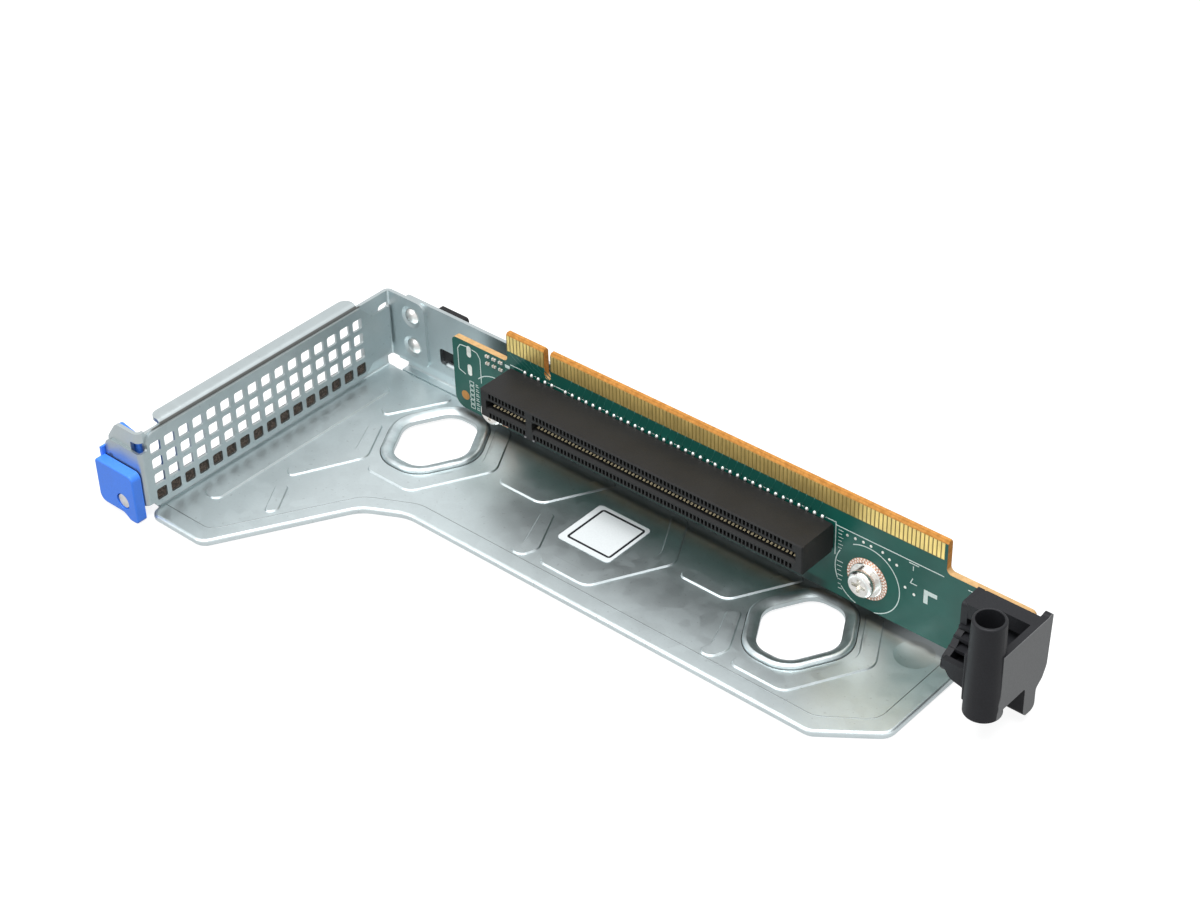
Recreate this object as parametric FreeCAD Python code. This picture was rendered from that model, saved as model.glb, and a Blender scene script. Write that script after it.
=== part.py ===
import FreeCAD, Part
import math
import os

V = FreeCAD.Vector

# Frame: the key of the card slot is the origin, X runs along the slot,
# Y goes from the board's front face to the back wall, Z is up.

# Sheet metal
sheet = 0.9
bend_inside = 0.6
floor_top = -17.0
hem_width = 4.3
edge_round = 0.75
fold_run = 1.6
wall_fold_run = 2.2
lap_reach = 3.0

# Card slot
pitch = 1.0
contacts_short = 11
contacts_long = 71
key_gap = 3.0
key_width = 1.75
slot_height = 10.6
slot_width = 7.1
slot_end = 2.9
card_gap = 1.7
card_depth = 8.6
card_margin = 1.25
mouth_chamfer = 0.55
comb_width = 0.62
comb_low = 1.9
comb_high = 3.2
comb_rail = 1.1
channel_near = 0.65
foot_room = 0.5
foot_seat = 2.7
boss_left = -2.0
boss_right = 1.5
boss_drop = 0.55
boss_front = 0.35
boss_back = 2.6
contact_width = 0.46
contact_thick = 0.24
contact_bend = 8.75
contact_leg = 2.9
foot_length = 4.0
foot_short = 1.2
spring_start = 5.2
spring_bend = 7.6
spring_step = 0.9
spring_touch = 0.5
spring_tip = 1.4
spring_flare = 0.95

# Circuit board
board_thick = 1.57
board_left = -32.9
board_right = 122.0
board_bottom = -14.45
shoulder = 4.4
tongue_left = -15.8
tongue_right = 101.9
tongue_top = 12.3
tongue_bevel = 0.8
bevel_depth = 0.45
notch_centre = -3.7
notch_width = 1.9
notch_floor = 4.8
corner_small = 1.2
corner_large = 3.0
finger_width = 0.7
finger_thick = 0.04
finger_low = 7.5
fingers_short = 11
fingers_long = 104

# Board screws, stand-offs and pads
screw_left_gap = 5.1
screw_left_z = -9.9
screw_right_gap = 8.7
screw_right_z = -6.7
screw_hole = 1.7
shank_radius = 1.45
thread_radius = 1.5
head_radius = 3.1
head_height = 3.0
flange_radius = 4.0
flange_height = 0.6
recess_width = 0.9
recess_span = 3.4
recess_depth = 1.5
screw_pad_radius = 5.0
pad_margin = 0.3
pad_thick = 0.05
standoff_radius = 3.0
stud_radius = 2.1
press_gap = 0.02

# Back wall
wall_front = 6.9
wall_left = -55.3
wall_right = 102.0
wall_top = 2.8
wall_corner = 5.0
window_left = -44.4
window_right = -38.4
window_low = -11.8
window_high = -7.6
lip_radius = 0.9
lip_left = -41.6

# Rear web, side flap, flange and ledge ear
web_front = -59.6
web_top = 2.75
web_near = -70.1
flap_right = -47.9
flap_low = -15.2
flap_corner = 2.3
opening_near = -68.2
opening_far = -3.2
opening_low = -15.5
opening_high = 1.3
opening_round = 0.8
flange_near = -63.5
flange_far = -4.0
flange_width = 3.9
flange_lift = 1.05
flange_corner = 2.2
ear_out = 9.6
ear_top = 3.4
ear_low = -15.6
relief_span = 2.3
relief_low = 2.2
hole_row = -1.15
hole_radius = 1.0
hole_near = 3.5
hole_far = 4.9

# Rivets
rivet_x = -52.4
rivet_high = -1.9
rivet_low = -10.2
rivet_radius = 1.5
rivet_head = 2.0
rivet_dome = 0.95
rivet_tail = 0.5
dimple_radius = 2.9
dimple_depth = 0.35

# Slot filler
filler_sheet = 0.6
filler_top = 2.6
fold_clear = 0.05
filler_near = -68.4
tongue_high = -1.3
tongue_start = 0.0
tongue_corner = 2.4
tongue_long = 12.4
hole_size = 2.85
hole_round = 0.5
hole_pitch = 4.09
hole_first_y = -4.85
hole_first_z = -1.4
hole_columns = 16
hole_rows = 4
filler_ear_out = 11.9
filler_ear_top = -1.3
filler_ear_low = -15.2
ear_dimple_x = -69.3
ear_dimple_z = -5.9
ear_dimple_radius = 0.9
ear_dimple_depth = 0.2
gasket_high = -11.6
gasket_thick = 0.8

# Latch and its pin
pin_x = -63.8
pin_z = -14.2
pin_radius = 1.2
pin_head = 1.7
pin_head_thick = 0.6
head_sink = 0.9
pin_run = 0.05
body_gap = 0.3
notch_radius = 2.1
panel_thick = 2.5
back_panel_thick = 1.2
latch_wall = 0.75
latch_front_top = -6.0
latch_front_low = -17.4
latch_tip_low = -18.75
latch_right = 4.3
latch_back_top = 2.6
latch_swing = 3.0
latch_bevel = 0.4

# Floor plate
plate_right = 107.6
plate_front = -34.7
plate_near = -70.2
near_right = -42.6
step_right = -24.6
step_front = -39.6
chamfer_x = 94.8
chamfer_y = -25.2
big_hole_left = -29.1
cell_period = 52.05
big_hole_y = -11.1
hex_half_x = 9.9
hex_half_y = 10.4
hex_flat = 4.0
hex_round = 5.0
rim_width = 2.9
rim_crest = 2.0
rim_height = 1.0
rim_root = 0.3
rim_swell = 0.2
rib_height = 0.32
rib_slope = 0.3
rib_round = 3.6
dent_x = 97.6
dent_y = -3.0
dent_radius = 4.3
dent_depth = 0.5

# Label, holder and small board parts
label_x = 23.1
label_y = -12.8
label_width = 14.6
label_depth = 14.6
label_thick = 0.1
label_round = 1.0
holder_left = 109.4
holder_wall = 1.5
holder_top = 5.0
holder_low = -9.2
side_left = 123.6
side_thick = 1.6
side_front = -14.6
side_back = 2.2
side_low = -8.6
block_low = 1.6
leg_low = -16.2
leg_high = -7.5
leg_front = -5.8
leg_back = -1.8
post_x = 121.3
post_y = -14.6
post_radius = 3.45
post_bore = 2.83
post_top = 12.6
post_bore_depth = 18.0
post_low = -10.2
post_draft = 0.5
lip_rise = 0.25
leg_width = 4.1
block_front = -3.4
flank_front = -5.8
flank_step = -7.3
skirt_front = -12.6
skirt_back = -11.2
skirt_top = -4.6
fin_pitch = 1.7
fin_thick = 0.7
fin_top = -0.5
fin_step = 1.5
pan_thick = 1.1
pan_rise = 0.4
wing_width = 1.2
wing_top = 1.0
clip_left = -45.4
clip_right = -36.6
clip_top = 2.6
clip_low = -12.6
clip_thick = 1.6
slot_pad_x = -27.8
slot_pad_z = -0.5
slot_pad_pitch = 5.0
slot_pad_long = 3.0
slot_pad_wide = 1.3
chip_long = 1.0
chip_wide = 0.55
chip_thick = 0.5
chips_left = -22.3
chips_low = 1.2
chip_pitch_x = 2.0
chip_pitch_z = 1.9
spot_x = -29.7
spot_z = -10.7
spot_radius = 1.2

# Sizes that follow
web_back = web_front - sheet
floor_low = floor_top - sheet
hem_low = floor_low - sheet
wall_back = wall_front + sheet
flap_front = wall_front - sheet
filler_front = web_front + filler_sheet
filler_low = floor_top + bend_inside + fold_clear
filler_far = flap_front - bend_inside - fold_clear
filler_ear_front = web_near - filler_sheet
tongue_low = tongue_high - tongue_long
head_seat = filler_ear_front - body_gap - panel_thick + head_sink
flap_start = flap_front - fold_run
wall_start = wall_front - wall_fold_run
lap_far = plate_near + lap_reach
first_contact = -key_gap / 2 - (contacts_short - 1) * pitch
last_contact = key_gap / 2 + (contacts_long - 1) * pitch
housing_left = first_contact - slot_end
housing_right = last_contact + slot_end
big_holes = [big_hole_left, big_hole_left + 2 * cell_period]
cells = [big_hole_left + i * cell_period for i in range(3)]
screws = [(housing_left - screw_left_gap, screw_left_z), (housing_right + screw_right_gap, screw_right_z)]
rivets = [rivet_high, rivet_low]


def at(plane, u, v, w):
    if plane == "xy":
        return V(u, v, w)
    if plane == "xz":
        return V(u, w, v)
    return V(w, u, v)


def normal(plane):
    return {"xy": V(0, 0, 1), "xz": V(0, 1, 0), "yz": V(1, 0, 0)}[plane]


def wire(plane, corners, w):
    """Closed outline through (u, v, radius) corners, each corner rounded by its radius."""
    count = len(corners)
    spans = []
    for i in range(count):
        u, v, r = corners[i]
        here = V(u, v, 0)
        if r <= 0:
            spans.append((here, None, here))
            continue
        before = (V(corners[i - 1][0], corners[i - 1][1], 0) - here).normalize()
        after_corner = corners[(i + 1) % count]
        after = (V(after_corner[0], after_corner[1], 0) - here).normalize()
        half = math.acos(max(-1.0, min(1.0, before.dot(after)))) / 2
        reach = r / math.tan(half)
        middle = (before + after).normalize()
        crown = here + middle * (r / math.sin(half) - r)
        spans.append((here + before * reach, crown, here + after * reach))
    edges = []
    for i in range(count):
        start, crown, end = spans[i]
        if crown is not None:
            edges.append(Part.Arc(*[at(plane, p.x, p.y, w) for p in (start, crown, end)]).toShape())
        following = spans[(i + 1) % count][0]
        if (following - end).Length > 1e-6:
            edges.append(Part.makeLine(at(plane, end.x, end.y, w), at(plane, following.x, following.y, w)))
    return Part.Wire(edges)


def slab(plane, corners, low, high):
    face = Part.Face(wire(plane, corners, low))
    return face.extrude(normal(plane) * (high - low))


def rectangle(u0, u1, v0, v1, r=0.0):
    return [(u0, v0, r), (u1, v0, r), (u1, v1, r), (u0, v1, r)]


def box(x0, x1, y0, y1, z0, z1):
    return Part.makeBox(x1 - x0, y1 - y0, z1 - z0, V(x0, y0, z0))


def rod_y(x, z, r, y0, y1):
    return Part.makeCylinder(r, y1 - y0, V(x, y0, z), V(0, 1, 0))


def rod_z(x, y, r, z0, z1):
    return Part.makeCylinder(r, z1 - z0, V(x, y, z0), V(0, 0, 1))


def join(shapes):
    first = shapes[0]
    return first.multiFuse(shapes[1:]).removeSplitter() if len(shapes) > 1 else first


def edges_where(shape, test):
    return [e for e in shape.Edges if test(e.BoundBox)]


def near(a, b):
    return abs(a - b) < 1e-4


def save(name, shape):
    if isinstance(shape, list):
        shape = Part.makeCompound(shape)
    shape.exportStep("parts/" + name + ".step")
    print(name, len(shape.Solids), round(shape.Volume, 1), shape.isValid())


def plate_corners(inset=0.0):
    """Free outline of the floor plate, drawn in by inset on its hemmed sides."""
    k = inset
    return [
        (web_front, plate_near + k, 0 if k else 2.6),
        (near_right - 0.45 * k, plate_near + k, 3.5),
        (step_right - 0.55 * k, step_front + 0.75 * k, 9.0),
        (step_right + 9.5, plate_front + k, 9.0),
        (chamfer_x - 0.4 * k, plate_front + k, 4.0),
        (plate_right - k, chamfer_y + 0.45 * k, 4.0),
        (plate_right - k, wall_start, 1.5),
        (web_front, wall_start, 0),
    ]


def hexagon(x, y):
    points = [(1, 0), (0, 1), (0, 1), (-1, 0), (0, -1), (0, -1)]
    flats = [0, hex_flat, -hex_flat, 0, -hex_flat, hex_flat]
    return [(x + a * hex_half_x + f, y + b * hex_half_y, hex_round) for (a, b), f in zip(points, flats)]


def rolled_rim(x, y):
    """Rim along the edge of a hole: a profile that climbs fast outside and falls slowly to the hole."""
    path = wire("xy", hexagon(x, y), floor_top)
    edge = path.Edges[0]
    start = edge.valueAt(edge.FirstParameter)
    along = edge.tangentAt(edge.FirstParameter).normalize()
    out = along.cross(V(0, 0, 1))
    if out.dot(start - V(x, y, floor_top)) < 0:
        out = out * -1

    def place(side, rise):
        return start + out * side + V(0, 0, rise)

    corners = [place(rim_width, -rim_root), place(rim_width, 0), place(rim_crest, rim_height),
               place(-0.2, 0), place(-0.2, -rim_root)]
    outside = (corners[1] + corners[2]) / 2 + out * rim_swell + V(0, 0, rim_swell)
    inside = (corners[2] + corners[3]) / 2 + V(0, 0, rim_swell)
    edges = [Part.makeLine(corners[0], corners[1]), Part.Arc(corners[1], outside, corners[2]).toShape(),
             Part.Arc(corners[2], inside, corners[3]).toShape(), Part.makeLine(corners[3], corners[4]),
             Part.makeLine(corners[4], corners[0])]
    return path.makePipeShell([Part.Wire(edges)], True, True)


def softened(band):
    """Corners of a band with the largest rounding up to rib_round that its edges leave room for."""
    plan = [V(u, v, 0) for u, v in band]
    out = []
    for i, here in enumerate(plan):
        before = plan[i - 1] - here
        after = plan[(i + 1) % len(plan)] - here
        half = before.getAngle(after) / 2
        room = 0.42 * min(before.Length, after.Length) * math.tan(half)
        out.append((here.x, here.y, min(rib_round, room)))
    return out


def ribs():
    """Outlines of the embossed bands, by cell of the hexagon pattern."""
    x = cells[0]
    y = big_hole_y
    bands = [
        [(web_front + 3.8, -2.8), (web_front + 8.7, -2.8), (web_front + 8.7, -58.2), (web_front + 3.8, -58.2)],
        [(x - 19.2, y + 1.4), (x - 16.0, y - 0.9), (x - 7.4, y + 13.6), (x - 10.8, y + 15.6)],
        [(x - 16.4, y - 4.9), (x - 13.5, y - 3.1), (x - 7.1, y - 14.6), (x - 15.9, y - 31.0),
         (x - 18.9, y - 28.6), (x - 11.4, y - 14.8)],
        [(x - 16.0, y - 34.6), (x - 13.4, y - 32.8), (x - 8.4, y - 41.0), (x - 10.6, y - 43.4)],
    ]
    for x in cells:
        bands.append([(x - 4.7, y - 14.0), (x + 6.8, y - 14.0), (x + 14.4, y), (x + 7.0, y + 13.2),
                      (x + 11.4, y + 13.6), (x + 19.0, y), (x + 9.0, y - 18.0), (x - 4.7, y - 18.0)])
    for x in cells[1:]:
        bands.append([(x - 15.6, y - 4.6), (x - 12.6, y - 3.2), (x - 6.9, y - 14.8), (x - 8.6, y - 18.9),
                      (x - 12.3, y - 18.9), (x - 11.4, y - 14.8)])
    for x in cells[:2]:
        bands.append([(x + 21.5, y - 2.8), (x + 34.6, y - 2.8), (x + 43.8, y + 13.4), (x + 39.6, y + 13.4),
                      (x + 32.2, y + 1.2), (x + 21.5, y + 1.2)])
    return bands


def floor_and_hem():
    plate = slab("xy", plate_corners(), floor_low, floor_top)
    ring = slab("xy", plate_corners(), hem_low, floor_low)
    inner = slab("xy", plate_corners(hem_width), hem_low - 1, floor_low + 1)
    ring = ring.cut(inner)
    beyond = box(web_back - 5, wall_right, wall_start - hem_width, wall_back + 5, hem_low - 1, floor_low)
    ring = ring.cut(beyond)
    both = plate.fuse(ring).removeSplitter()
    inner_plan = Part.Face(wire("xy", plate_corners(0.5), 0.0))
    edge = []
    for e in both.Edges:
        b = e.BoundBox
        flat = near(b.ZMin, b.ZMax) and (near(b.ZMin, floor_top) or near(b.ZMin, hem_low))
        middle = e.valueAt((e.FirstParameter + e.LastParameter) / 2)
        outside = not inner_plan.isInside(V(middle.x, middle.y, 0), 1e-3, True)
        free = middle.y < wall_front - 2.0 and middle.x > web_front + 0.01
        if flat and outside and free:
            edge.append(e)
    return both.makeFillet(edge_round, edge)


def folded_sheet():
    """Plate, wall, web, flap, flange and ear, each fold drawn as its own rounded profile."""
    r = bend_inside
    s = bend_inside + sheet
    run = wall_fold_run
    wall = slab("yz", [(wall_start, floor_low, 0), (wall_back, floor_low, s), (wall_back, wall_top, 0),
                       (wall_front, wall_top, 0), (wall_front, floor_top, r), (wall_start, floor_top, 0)],
                web_front + relief_span, wall_right)
    wall = wall.common(slab("xz", [(wall_left, floor_low, 0), (wall_right, floor_low, 0),
                                   (wall_right, wall_top, wall_corner), (wall_left, wall_top, 1.5)], -10, 20))
    web = slab("xz", [(web_front + run, floor_low, 0), (web_back, floor_low, s), (web_back, web_top, 0),
                      (web_front, web_top, 0), (web_front, floor_top, r), (web_front + run, floor_top, 0)],
               lap_far, flap_start)
    lap = slab("yz", [(web_near + 2.0, ear_low, 0), (lap_far, floor_low + 0.5, 0), (lap_far, web_top, 0),
                      (web_near + 2.0, web_top, 0)], web_back, web_front)
    flap = slab("xy", [(web_back, flap_start, 0), (web_back, wall_front, s), (flap_right, wall_front, 0),
                       (flap_right, flap_front, 0), (web_front, flap_front, r), (web_front, flap_start, 0)],
                flap_low, web_top)
    flap = flap.common(slab("xz", [(web_back, flap_low, 0), (flap_right, flap_low, flap_corner),
                                   (flap_right, web_top, flap_corner), (web_back, web_top, 0)], -10, 20))
    ear = slab("xy", [(web_back - ear_out, web_near, 0), (web_front, web_near, s),
                      (web_front, web_near + 2.0, 0), (web_back, web_near + 2.0, 0), (web_back, web_near + sheet, r),
                      (web_back - ear_out, web_near + sheet, 0)], ear_low, ear_top)
    ear = ear.common(slab("xz", [(web_front + 1, ear_low, 0), (web_front + 1, ear_top, 0),
                                 (web_back - ear_out + 3.2, ear_top, 2.0),
                                 (web_back - ear_out, ear_top - 4.5, 2.5),
                                 (web_back - ear_out, ear_low, 1.5)], -80, -60))
    top = web_top + flange_lift
    flange = slab("xz", [(web_back, web_top - 1, 0), (web_back, top - sheet, r),
                         (web_front - flange_width, top - sheet, 0), (web_front - flange_width, top, 0),
                         (web_front, top, s), (web_front, web_top - 1, 0)], flange_near, flange_far)
    flange = flange.common(slab("xy", [(web_front + 1, flange_near, 0), (web_front + 1, flange_far, 0),
                                       (web_front - flange_width, flange_far, flange_corner),
                                       (web_front - flange_width, flange_near, flange_corner)], -10, 20))
    return join([floor_and_hem(), wall, web, lap, flap, ear, flange])


def carrier_tray():
    tray = folded_sheet()
    cuts = [
        slab("yz", rectangle(opening_near, opening_far, opening_low, opening_high, opening_round),
             web_back - 1, web_front + 1),
        box(web_back - 1, web_front + relief_span, flap_start, wall_back + 1,
            floor_low - 2, floor_top + relief_low),
        slab("xz", rectangle(web_back - 1.9, web_front + 1.5, -4.0, 0.9, 0.6), web_near - 1, web_near + 1.6),
        slab("yz", [(hole_near - hole_radius, hole_row - hole_radius, hole_radius * 0.98),
                    (hole_far + hole_radius, hole_row - hole_radius, hole_radius * 0.98),
                    (hole_far + hole_radius, hole_row + hole_radius, hole_radius * 0.98),
                    (hole_near - hole_radius, hole_row + hole_radius, hole_radius * 0.98)],
             web_back - 1, web_front + 1),
        slab("xz", rectangle(window_left, window_right, window_low, window_high, 0.8),
             wall_front - 1, wall_back + 1),
        rod_y(pin_x, pin_z, pin_radius + press_gap, web_near - 1, web_near + 2),
    ]
    for x, z in screws:
        cuts.append(rod_y(x, z, stud_radius + press_gap, wall_front - 1, wall_back + 1))
    for z in rivets:
        cuts.append(rod_y(rivet_x, z, rivet_radius + press_gap, flap_front - 1, wall_back + 1))
        cuts.append(Part.makeCone(dimple_radius, dimple_radius - 0.8, dimple_depth, V(rivet_x, flap_front, z),
                                  V(0, 1, 0)))
    dent_ball = (dent_radius ** 2 + dent_depth ** 2) / (2 * dent_depth)
    cuts.append(Part.makeSphere(dent_ball, V(dent_x, dent_y, floor_top - dent_depth + dent_ball)))
    adds = []
    for x in big_holes:
        adds.append(rolled_rim(x, big_hole_y))
        cuts.append(slab("xy", hexagon(x, big_hole_y), floor_low - 1, floor_top + rim_height + 1))
    for band in ribs():
        raised = slab("xy", softened(band), floor_top - 0.2, floor_top + rib_height)
        crown = edges_where(raised, lambda b: near(b.ZMin, floor_top + rib_height))
        adds.append(raised.makeChamfer(rib_slope, crown))
    lip_end = V(lip_left, wall_back - lip_radius, window_low + 0.3)
    lip = Part.makeCylinder(lip_radius, window_right - lip_left, lip_end, V(1, 0, 0))
    ball = Part.makeSphere(lip_radius, lip_end)
    tray = tray.multiFuse(adds)
    tray = tray.cut(Part.makeCompound(cuts))
    tray = tray.multiFuse([lip, ball])
    return tray.removeSplitter()


def corner_rivets():
    out = []
    for z in rivets:
        seat = flap_front + dimple_depth
        shank = rod_y(rivet_x, z, rivet_radius, seat - 0.1, wall_back + 0.1)
        rise = rivet_dome
        ball_radius = (rivet_head ** 2 + rise ** 2) / (2 * rise)
        ball = Part.makeSphere(ball_radius, V(rivet_x, seat - rise + ball_radius, z))
        head = ball.common(rod_y(rivet_x, z, rivet_head, seat - rise - 1, seat))
        tail = rod_y(rivet_x, z, rivet_head, wall_back, wall_back + rivet_tail)
        out.append(join([shank, head, tail]))
    return out


def slot_filler():
    r = bend_inside * 0.8
    s = r + filler_sheet
    outline = slab("yz", [(filler_ear_front, filler_ear_low, 0), (filler_near, filler_ear_low, 0.5),
                          (filler_near, filler_low, 0.8), (tongue_start - 3.8, filler_low, 1.0),
                          (tongue_start - 1.0, tongue_low, 1.0), (filler_far, tongue_low, tongue_corner),
                          (filler_far, tongue_high, 0.3), (tongue_start, tongue_high, 1.0),
                          (tongue_start - 3.6, filler_top, 1.0), (filler_near, filler_top, 2.4),
                          (filler_near, filler_ear_top, 0.8), (filler_ear_front, filler_ear_top, 0)], -100, 0)
    face = slab("xz", [(filler_front + 1, filler_low, 0), (filler_front + 1, filler_top, 0),
                       (filler_front - 2, filler_top, 0), (filler_front - 2, filler_ear_top, 0),
                       (filler_front - filler_ear_out, filler_ear_top, 2.6),
                       (filler_front - filler_ear_out, filler_ear_low, 1.5),
                       (filler_front - 2, filler_ear_low, 0),
                       (filler_front - 2, filler_low, 0)], -100, 20)
    strip = slab("xy", [(filler_front - filler_ear_out, filler_ear_front, 0),
                        (filler_front, filler_ear_front, s), (filler_front, filler_far, 0),
                        (web_front, filler_far, 0), (web_front, web_near, r),
                        (filler_front - filler_ear_out, web_near, 0)], filler_low, filler_top)
    piece = strip.common(outline).common(face)
    half = hole_size / 2
    holes = []
    for j in range(hole_columns):
        for i in range(hole_rows):
            y = hole_first_y - hole_pitch * j
            z = hole_first_z - hole_pitch * i
            holes.append(slab("yz", rectangle(y - half, y + half, z - half, z + half, hole_round),
                              web_front - 0.5, filler_front + 0.5))
    holes.append(slab("xz", [(pin_x - notch_radius, filler_ear_low - 1, 0),
                             (pin_x + notch_radius, filler_ear_low - 1, 0),
                             (pin_x + notch_radius, pin_z + notch_radius, notch_radius * 0.98),
                             (pin_x - notch_radius, pin_z + notch_radius, notch_radius * 0.98)],
                      filler_ear_front - 1, web_near + 1))
    dimple = (ear_dimple_radius ** 2 + ear_dimple_depth ** 2) / (2 * ear_dimple_depth)
    holes.append(Part.makeSphere(dimple, V(ear_dimple_x, filler_ear_front + ear_dimple_depth - dimple,
                                           ear_dimple_z)))
    return piece.cut(Part.makeCompound(holes))


def filler_gasket():
    outline = [(opening_near, opening_low, opening_round), (opening_far, opening_low, opening_round),
               (opening_far, gasket_high, 0), (opening_near, gasket_high, 0)]
    return slab("yz", outline, web_front - gasket_thick, web_front)


def release_latch():
    front_y = filler_ear_front - body_gap
    back_y = web_near + sheet + body_gap
    left = filler_front - filler_ear_out - body_gap
    right = pin_x + latch_right
    front = slab("xz", [(left - latch_wall, latch_front_low, 2.0), (right - 4.6, latch_front_low, 1.5),
                        (right - 2.6, latch_tip_low, 1.0), (right, latch_tip_low, 1.0),
                        (right, latch_front_top, 1.5), (left - latch_wall, latch_front_top, 1.0)],
                 front_y - panel_thick, front_y)
    rim = edges_where(front, lambda b: near(b.YMin, front_y - panel_thick) and near(b.YMax, b.YMin))
    front = front.makeFillet(latch_bevel, rim)
    back = slab("xz", [(left - latch_wall, latch_front_low, 1.5), (pin_x, latch_front_low, 0),
                       (pin_x, latch_front_low + 0.1, 0), (pin_x + latch_swing, pin_z, 0),
                       (pin_x + latch_swing, 0.6, 1.5), (pin_x + 0.8, latch_back_top - 1.0, 2.0),
                       (left + 3.6, latch_back_top, 1.6), (left + 1.6, latch_back_top - 2.4, 1.0),
                       (left - latch_wall, -4.0, 1.0)], back_y, back_y + back_panel_thick)
    disc = rod_y(pin_x, pin_z, latch_swing, back_y, back_y + back_panel_thick)
    side = slab("xz", [(left - latch_wall, latch_front_low + 0.4, 0), (left, latch_front_low + 0.4, 0),
                       (left, latch_front_top + 2.0, 0), (left - latch_wall, latch_front_top + 2.0, 0.3)],
                front_y - 0.6, back_y + 0.6)
    body = join([front, back, disc, side])
    bore = rod_y(pin_x, pin_z, pin_radius + pin_run, front_y - panel_thick - 1, back_y + back_panel_thick + 1)
    seat = rod_y(pin_x, pin_z, pin_head + body_gap, front_y - panel_thick - 1, head_seat + body_gap)
    return body.cut(Part.makeCompound([bore.fuse(seat)])).removeSplitter()


def latch_pin():
    back = web_near + sheet + body_gap + back_panel_thick + body_gap
    shaft = rod_y(pin_x, pin_z, pin_radius, head_seat - 0.1, back + 0.1)
    head = rod_y(pin_x, pin_z, pin_head, head_seat - pin_head_thick, head_seat)
    tail = rod_y(pin_x, pin_z, pin_head, back, back + pin_head_thick)
    return join([shaft, head, tail])


def riser_board():
    half = notch_width / 2
    outline = [(board_left, board_bottom, corner_large), (board_right, board_bottom, corner_small),
               (board_right, shoulder, corner_small), (tongue_right, shoulder, corner_small),
               (tongue_right, tongue_top, 0.4), (notch_centre + half, tongue_top, 0.3),
               (notch_centre + half, notch_floor, half * 0.98), (notch_centre - half, notch_floor, half * 0.98),
               (notch_centre - half, tongue_top, 0.3), (tongue_left, tongue_top, 0.4),
               (tongue_left, shoulder, corner_small), (board_left, shoulder, corner_small)]
    board = slab("xz", outline, 0.0, board_thick)
    for face_y, inward in ((0.0, 1), (board_thick, -1)):
        wedge = Part.Face(Part.makePolygon([
            V(tongue_left - 1, face_y - inward * 0.01, tongue_top - tongue_bevel),
            V(tongue_left - 1, face_y + inward * bevel_depth, tongue_top + 0.001),
            V(tongue_left - 1, face_y + inward * bevel_depth, tongue_top + 1),
            V(tongue_left - 1, face_y - inward * 0.01, tongue_top + 1),
            V(tongue_left - 1, face_y - inward * 0.01, tongue_top - tongue_bevel)]))
        board = board.cut(wedge.extrude(V(tongue_right - tongue_left + 2, 0, 0)))
    for x, z in screws:
        board = board.cut(rod_y(x, z, screw_hole, -1, board_thick + 1))
    return board


def edge_fingers(y0, y1):
    out = []
    first = notch_centre - key_gap / 2
    second = notch_centre + key_gap / 2
    centres = [first - i * pitch for i in range(fingers_short)]
    centres += [second + i * pitch for i in range(fingers_long)]
    half = finger_width / 2
    for x in centres:
        out.append(box(x - half, x + half, y0, y1, finger_low, tongue_top - tongue_bevel))
    return out


def contact_places():
    left = [-key_gap / 2 - i * pitch for i in range(contacts_short)]
    right = [key_gap / 2 + i * pitch for i in range(contacts_long)]
    return sorted(left + right)


def slot_housing():
    body = box(housing_left, housing_right, -slot_height, 0.0, -slot_width / 2, slot_width / 2)
    rim = [e for e in body.Edges if near(e.BoundBox.YMax, -slot_height)]
    body = body.makeChamfer(0.25, rim)
    low = -slot_width / 2
    body = body.fuse(box(boss_left, boss_right, -slot_height + boss_front, -slot_height + boss_back, low - boss_drop,
                         low + 0.5))
    cuts = []
    spans = [(first_contact - card_margin, -key_width / 2), (key_width / 2, last_contact + card_margin)]
    for x0, x1 in spans:
        cuts.append(box(x0, x1, -slot_height - 1, -slot_height + card_depth, -card_gap / 2, card_gap / 2))
        flare = Part.makeWedge(x0, -slot_height - 0.01, -card_gap / 2 - mouth_chamfer,
                               -card_gap / 2, x0 + mouth_chamfer,
                               x1, -slot_height + mouth_chamfer, card_gap / 2 + mouth_chamfer,
                               card_gap / 2, x1 - mouth_chamfer)
        cuts.append(flare)
    for x in contact_places():
        w = comb_width / 2
        for side in (1, -1):
            z0, z1 = sorted((side * comb_low, side * comb_high))
            cuts.append(box(x - w, x + w, -slot_height - 1, -foot_room + 0.01, z0, z1))
            z0, z1 = sorted((side * channel_near, side * (comb_low + 0.01)))
            cuts.append(box(x - w, x + w, -slot_height + comb_rail, -foot_room + 0.01, z0, z1))
    for side in (1, -1):
        z0, z1 = sorted((side * 0.6, side * (slot_width / 2 + 1)))
        cuts.append(box(first_contact - 0.8, last_contact + 0.8, -foot_room, 1, z0, z1))
        z0, z1 = sorted((side * foot_seat, side * (slot_width / 2 + 1)))
        cuts.append(box(housing_left - 1, housing_right + 1, -foot_room, 1, z0, z1))
    return body.cut(Part.makeCompound(cuts))


def contact(x, side, outer):
    """One spring contact: foot on the board, leg against the housing, arm bent in to the card."""
    t = contact_thick
    leg = contact_leg
    elbow = leg - spring_step
    spring = [(-spring_start, leg), (-spring_bend, elbow), (-contact_bend, spring_touch + t),
              (-slot_height + spring_tip, spring_flare), (-slot_height + spring_tip - 0.15, spring_flare - t),
              (-contact_bend, spring_touch), (-spring_bend + 0.1, elbow - t), (-spring_start + 0.1, leg - t)]
    if outer:
        points = [(-t, foot_length), (-t, leg)] + spring + [(0.0, leg - t), (0.0, foot_length)]
    else:
        points = [(0.0, foot_short), (0.0, leg)] + spring + [(-t, leg - t), (-t, foot_short)]
    face = Part.Face(Part.makePolygon([V(x - contact_width / 2, y, side * z) for y, z in points + points[:1]]))
    return face.extrude(V(contact_width, 0, 0))


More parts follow.
